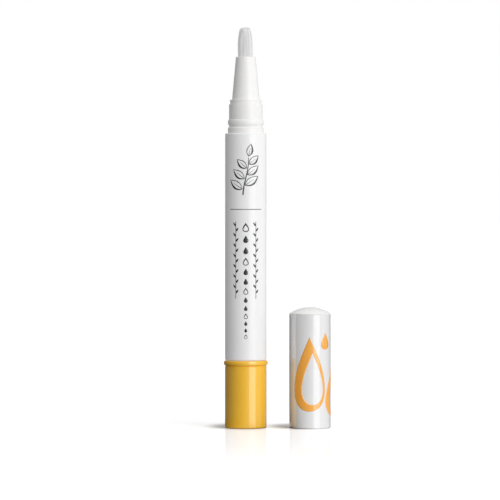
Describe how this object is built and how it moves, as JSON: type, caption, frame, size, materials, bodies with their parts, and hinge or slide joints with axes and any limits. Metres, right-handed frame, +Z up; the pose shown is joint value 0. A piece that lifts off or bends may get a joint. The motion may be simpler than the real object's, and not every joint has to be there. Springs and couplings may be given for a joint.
{
  "type": "nail oil pen",
  "caption": "Twist-up nail oil pen with a brush tip, a turning foot, a screw-fed piston and a separate domed cap.",
  "frame": {"origin": "centre of the underside of the turning foot, on the pen's axis", "axes": "+Z up the pen towards the brush, +X towards the cap that stands beside it"},
  "size_m": [0.0308, 0.0126, 0.1156],
  "materials": {
    "white_plastic": "smooth semi-gloss white polypropylene",
    "holder_plastic": "smooth warm white moulded plastic",
    "yellow_plastic": "smooth semi-gloss golden yellow",
    "inner_plastic": "natural moulded plastic",
    "piston_plastic": "soft natural polyethylene",
    "seal_rubber": "matte black nitrile",
    "bristle": "fine translucent nylon bristle"
  },
  "bodies": {
    "pen": {"barrel": "white_plastic", "ratchet_ring": "inner_plastic", "screw_nut": "inner_plastic", "brush_holder": "holder_plastic", "holder_seal": "seal_rubber", "feed_tube": "inner_plastic", "brush_ferrule": "holder_plastic", "brush_tuft": "bristle"},
    "knob": {"knob_shell": "yellow_plastic", "click_ring": "inner_plastic", "drive_sleeve": "inner_plastic"},
    "piston": {"piston": "piston_plastic"},
    "rod": {"screw_rod": "inner_plastic"},
    "cap": {"cap_sleeve": "white_plastic", "cap_liner": "holder_plastic"}
  },
  "joints": [
    {"name": "knob_turn", "type": "hinge", "parent": "pen", "child": "knob", "pos_m": [0, 0, 0], "axis": [0, 0, 1], "range_deg": [0, 4680], "deforming": ["click_ring"]},
    {"name": "piston_slide", "type": "slide", "parent": "pen", "child": "piston", "axis": [0, 0, 1], "range_m": [0, 0.0325]},
    {"name": "rod_slide", "type": "slide", "parent": "knob", "child": "rod", "axis": [0, 0, 1], "range_m": [0, 0.0325]},
    {"name": "cap_lift", "type": "slide", "parent": "pen", "child": "cap", "axis": [0, 0, 1], "range_m": [0, 0.12]}
  ],
  "couplings": [
    {"joint": "knob_turn", "follows": "piston_slide", "rad_per_m": 2513.3},
    {"joint": "rod_slide", "follows": "piston_slide", "ratio": 1}
  ]
}
